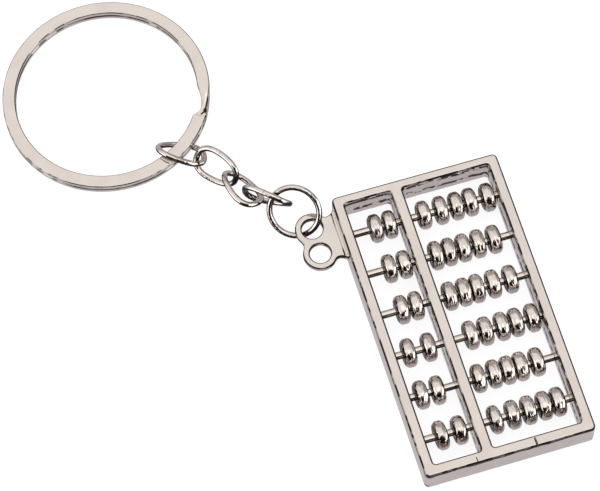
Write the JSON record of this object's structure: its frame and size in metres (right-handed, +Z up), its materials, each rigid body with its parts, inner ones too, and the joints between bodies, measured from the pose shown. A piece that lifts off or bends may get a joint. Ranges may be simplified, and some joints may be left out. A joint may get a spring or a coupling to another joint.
{
  "type": "abacus keyring",
  "caption": "Pocket abacus of plated metal with sliding beads on rods, its end tab joined by a jump ring and a short twisted chain to a flat split key ring",
  "frame": {"origin": "centre of the back face of the bar between the two windows, on the plane the object lies on", "axes": "+X along the rods from the two-bead side to the five-bead side, +Y along the frame's length towards the end with the tab and the chain, +Z up out of the front face"},
  "size_m": [0.0653, 0.0853, 0.0063],
  "materials": {
    "casting": "bright plated casting, slightly wavy polish",
    "rod": "bright plated round wire",
    "bead": "mirror bright plating",
    "wire": "bright plated round wire",
    "flat_wire": "bright plated flat wire"
  },
  "bodies": {
    "abacus": {"frame": "casting", "rod_1": "rod", "rod_2": "rod", "rod_3": "rod", "rod_4": "rod", "rod_5": "rod", "rod_6": "rod"},
    "jump_ring": {"jump_ring": "wire"},
    "chain_link_1": {"chain_link_1": "wire"},
    "chain_link_2": {"chain_link_2": "wire"},
    "chain_link_3": {"chain_link_3": "wire"},
    "chain_link_4": {"chain_link_4": "wire"},
    "split_ring": {"split_ring": "flat_wire"},
    "heaven_bead_1a": {"heaven_bead_1a": "bead"},
    "heaven_bead_1b": {"heaven_bead_1b": "bead"},
    "earth_bead_1a": {"earth_bead_1a": "bead"},
    "earth_bead_1b": {"earth_bead_1b": "bead"},
    "earth_bead_1c": {"earth_bead_1c": "bead"},
    "earth_bead_1d": {"earth_bead_1d": "bead"},
    "earth_bead_1e": {"earth_bead_1e": "bead"},
    "heaven_bead_2a": {"heaven_bead_2a": "bead"},
    "heaven_bead_2b": {"heaven_bead_2b": "bead"},
    "earth_bead_2a": {"earth_bead_2a": "bead"},
    "earth_bead_2b": {"earth_bead_2b": "bead"},
    "earth_bead_2c": {"earth_bead_2c": "bead"},
    "earth_bead_2d": {"earth_bead_2d": "bead"},
    "earth_bead_2e": {"earth_bead_2e": "bead"},
    "heaven_bead_3a": {"heaven_bead_3a": "bead"},
    "heaven_bead_3b": {"heaven_bead_3b": "bead"},
    "earth_bead_3a": {"earth_bead_3a": "bead"},
    "earth_bead_3b": {"earth_bead_3b": "bead"},
    "earth_bead_3c": {"earth_bead_3c": "bead"},
    "earth_bead_3d": {"earth_bead_3d": "bead"},
    "earth_bead_3e": {"earth_bead_3e": "bead"},
    "heaven_bead_4a": {"heaven_bead_4a": "bead"},
    "heaven_bead_4b": {"heaven_bead_4b": "bead"},
    "earth_bead_4a": {"earth_bead_4a": "bead"},
    "earth_bead_4b": {"earth_bead_4b": "bead"},
    "earth_bead_4c": {"earth_bead_4c": "bead"},
    "earth_bead_4d": {"earth_bead_4d": "bead"},
    "earth_bead_4e": {"earth_bead_4e": "bead"},
    "heaven_bead_5a": {"heaven_bead_5a": "bead"},
    "heaven_bead_5b": {"heaven_bead_5b": "bead"},
    "earth_bead_5a": {"earth_bead_5a": "bead"},
    "earth_bead_5b": {"earth_bead_5b": "bead"},
    "earth_bead_5c": {"earth_bead_5c": "bead"},
    "earth_bead_5d": {"earth_bead_5d": "bead"},
    "earth_bead_5e": {"earth_bead_5e": "bead"},
    "heaven_bead_6a": {"heaven_bead_6a": "bead"},
    "heaven_bead_6b": {"heaven_bead_6b": "bead"},
    "earth_bead_6a": {"earth_bead_6a": "bead"},
    "earth_bead_6b": {"earth_bead_6b": "bead"},
    "earth_bead_6c": {"earth_bead_6c": "bead"},
    "earth_bead_6d": {"earth_bead_6d": "bead"},
    "earth_bead_6e": {"earth_bead_6e": "bead"}
  },
  "joints": [
    {"name": "jump_ring_flip", "type": "hinge", "parent": "abacus", "child": "jump_ring", "pos_m": [-0.01294, 0.01922, 0.0017], "axis": [0.807, -0.5906, 0], "range_deg": [0, 85]},
    {"name": "link_1_swing", "type": "hinge", "parent": "jump_ring", "child": "chain_link_1", "pos_m": [-0.01679, 0.02457, 0.00471], "axis": [0, 0, 1], "range_deg": [-25, 20]},
    {"name": "link_2_swing", "type": "hinge", "parent": "chain_link_1", "child": "chain_link_2", "pos_m": [-0.01857, 0.02682, 0.00111], "axis": [0, 0, 1], "range_deg": [-25, 18]},
    {"name": "link_3_swing", "type": "hinge", "parent": "chain_link_2", "child": "chain_link_3", "pos_m": [-0.02163, 0.03058, 0.0013], "axis": [0, 0, 1], "range_deg": [-25, 50]},
    {"name": "link_4_swing", "type": "hinge", "parent": "chain_link_3", "child": "chain_link_4", "pos_m": [-0.02525, 0.03415, 0.00158], "axis": [0, 0, 1], "range_deg": [-20, 18]},
    {"name": "split_ring_turn", "type": "hinge", "parent": "chain_link_4", "child": "split_ring", "pos_m": [-0.03495, 0.04827, 0.00164], "axis": [-0.048, 0.0211, 0.9986], "continuous": true},
    {"name": "heaven_bead_1a_slide", "type": "slide", "parent": "abacus", "child": "heaven_bead_1a", "axis": [1, 0, 0], "range_m": [-0.00247, 0.00026]},
    {"name": "heaven_bead_1b_slide", "type": "slide", "parent": "abacus", "child": "heaven_bead_1b", "axis": [1, 0, 0], "range_m": [-0.000263, 0.000425]},
    {"name": "earth_bead_1a_slide", "type": "slide", "parent": "abacus", "child": "earth_bead_1a", "axis": [1, 0, 0], "range_m": [-0.00105, 0.0007]},
    {"name": "earth_bead_1b_slide", "type": "slide", "parent": "abacus", "child": "earth_bead_1b", "axis": [1, 0, 0], "range_m": [-0.0007, 0.00047]},
    {"name": "earth_bead_1c_slide", "type": "slide", "parent": "abacus", "child": "earth_bead_1c", "axis": [1, 0, 0], "range_m": [-0.000471, 0.000278]},
    {"name": "earth_bead_1d_slide", "type": "slide", "parent": "abacus", "child": "earth_bead_1d", "axis": [1, 0, 0], "range_m": [-0.00028, 0.00074]},
    {"name": "earth_bead_1e_slide", "type": "slide", "parent": "abacus", "child": "earth_bead_1e", "axis": [1, 0, 0], "range_m": [-0.00074, 0.00043]},
    {"name": "heaven_bead_2a_slide", "type": "slide", "parent": "abacus", "child": "heaven_bead_2a", "axis": [1, 0, 0], "range_m": [-0.00247, 0.00036]},
    {"name": "heaven_bead_2b_slide", "type": "slide", "parent": "abacus", "child": "heaven_bead_2b", "axis": [1, 0, 0], "range_m": [-0.00036, 0.000328]},
    {"name": "earth_bead_2a_slide", "type": "slide", "parent": "abacus", "child": "earth_bead_2a", "axis": [1, 0, 0], "range_m": [-0.000779, 0.000124]},
    {"name": "earth_bead_2b_slide", "type": "slide", "parent": "abacus", "child": "earth_bead_2b", "axis": [1, 0, 0], "range_m": [-0.000124, 0.000278]},
    {"name": "earth_bead_2c_slide", "type": "slide", "parent": "abacus", "child": "earth_bead_2c", "axis": [1, 0, 0], "range_m": [-0.000278, 0.000355]},
    {"name": "earth_bead_2d_slide", "type": "slide", "parent": "abacus", "child": "earth_bead_2d", "axis": [1, 0, 0], "range_m": [-0.000355, 0.000509]},
    {"name": "earth_bead_2e_slide", "type": "slide", "parent": "abacus", "child": "earth_bead_2e", "axis": [1, 0, 0], "range_m": [-0.00051, 0.00163]},
    {"name": "heaven_bead_3a_slide", "type": "slide", "parent": "abacus", "child": "heaven_bead_3a", "axis": [1, 0, 0], "range_m": [-0.00221, 0.00026]},
    {"name": "heaven_bead_3b_slide", "type": "slide", "parent": "abacus", "child": "heaven_bead_3b", "axis": [1, 0, 0], "range_m": [-0.000263, 0.000685]},
    {"name": "earth_bead_3a_slide", "type": "slide", "parent": "abacus", "child": "earth_bead_3a", "axis": [1, 0, 0], "range_m": [-0.000702, 0.000278]},
    {"name": "earth_bead_3b_slide", "type": "slide", "parent": "abacus", "child": "earth_bead_3b", "axis": [1, 0, 0], "range_m": [-0.000278, 0.000085]},
    {"name": "earth_bead_3c_slide", "type": "slide", "parent": "abacus", "child": "earth_bead_3c", "axis": [1, 0, 0], "range_m": [-0.000085, 0.000548]},
    {"name": "earth_bead_3d_slide", "type": "slide", "parent": "abacus", "child": "earth_bead_3d", "axis": [1, 0, 0], "range_m": [-0.00055, 0.0007]},
    {"name": "earth_bead_3e_slide", "type": "slide", "parent": "abacus", "child": "earth_bead_3e", "axis": [1, 0, 0], "range_m": [-0.0007, 0.00136]},
    {"name": "heaven_bead_4a_slide", "type": "slide", "parent": "abacus", "child": "heaven_bead_4a", "axis": [1, 0, 0], "range_m": [-0.00111, 0.00111]},
    {"name": "heaven_bead_4b_slide", "type": "slide", "parent": "abacus", "child": "heaven_bead_4b", "axis": [1, 0, 0], "range_m": [-0.00111, 0.00094]},
    {"name": "earth_bead_4a_slide", "type": "slide", "parent": "abacus", "child": "earth_bead_4a", "axis": [1, 0, 0], "range_m": [-0.00163, 0.00036]},
    {"name": "earth_bead_4b_slide", "type": "slide", "parent": "abacus", "child": "earth_bead_4b", "axis": [1, 0, 0], "range_m": [-0.000355, 0.000586]},
    {"name": "earth_bead_4c_slide", "type": "slide", "parent": "abacus", "child": "earth_bead_4c", "axis": [1, 0, 0], "range_m": [-0.000586, 0.00024]},
    {"name": "earth_bead_4d_slide", "type": "slide", "parent": "abacus", "child": "earth_bead_4d", "axis": [1, 0, 0], "range_m": [-0.00024, 0.000586]},
    {"name": "earth_bead_4e_slide", "type": "slide", "parent": "abacus", "child": "earth_bead_4e", "axis": [1, 0, 0], "range_m": [-0.000586, 0.000278]},
    {"name": "heaven_bead_5a_slide", "type": "slide", "parent": "abacus", "child": "heaven_bead_5a", "axis": [1, 0, 0], "range_m": [-0.00085, 0.00056]},
    {"name": "heaven_bead_5b_slide", "type": "slide", "parent": "abacus", "child": "heaven_bead_5b", "axis": [1, 0, 0], "range_m": [-0.00056, 0.00176]},
    {"name": "earth_bead_5a_slide", "type": "slide", "parent": "abacus", "child": "earth_bead_5a", "axis": [1, 0, 0], "range_m": [-0.00066, 0.00043]},
    {"name": "earth_bead_5b_slide", "type": "slide", "parent": "abacus", "child": "earth_bead_5b", "axis": [1, 0, 0], "range_m": [-0.000432, 0.000163]},
    {"name": "earth_bead_5c_slide", "type": "slide", "parent": "abacus", "child": "earth_bead_5c", "axis": [1, 0, 0], "range_m": [-0.000163, 0.000086]},
    {"name": "earth_bead_5d_slide", "type": "slide", "parent": "abacus", "child": "earth_bead_5d", "axis": [1, 0, 0], "range_m": [-0.000086, 0.000509]},
    {"name": "earth_bead_5e_slide", "type": "slide", "parent": "abacus", "child": "earth_bead_5e", "axis": [1, 0, 0], "range_m": [-0.00051, 0.00182]},
    {"name": "heaven_bead_6a_slide", "type": "slide", "parent": "abacus", "child": "heaven_bead_6a", "axis": [1, 0, 0], "range_m": [-0.0016, 0.00085]},
    {"name": "heaven_bead_6b_slide", "type": "slide", "parent": "abacus", "child": "heaven_bead_6b", "axis": [1, 0, 0], "range_m": [-0.00085, 0.00072]},
    {"name": "earth_bead_6a_slide", "type": "slide", "parent": "abacus", "child": "earth_bead_6a", "axis": [1, 0, 0], "range_m": [-0.00093, 0.0007]},
    {"name": "earth_bead_6b_slide", "type": "slide", "parent": "abacus", "child": "earth_bead_6b", "axis": [1, 0, 0], "range_m": [-0.0007, 0.00047]},
    {"name": "earth_bead_6c_slide", "type": "slide", "parent": "abacus", "child": "earth_bead_6c", "axis": [1, 0, 0], "range_m": [-0.00047, 0.000432]},
    {"name": "earth_bead_6d_slide", "type": "slide", "parent": "abacus", "child": "earth_bead_6d", "axis": [1, 0, 0], "range_m": [-0.000432, 0.000201]},
    {"name": "earth_bead_6e_slide", "type": "slide", "parent": "abacus", "child": "earth_bead_6e", "axis": [1, 0, 0], "range_m": [-0.0002, 0.00093]}
  ]
}
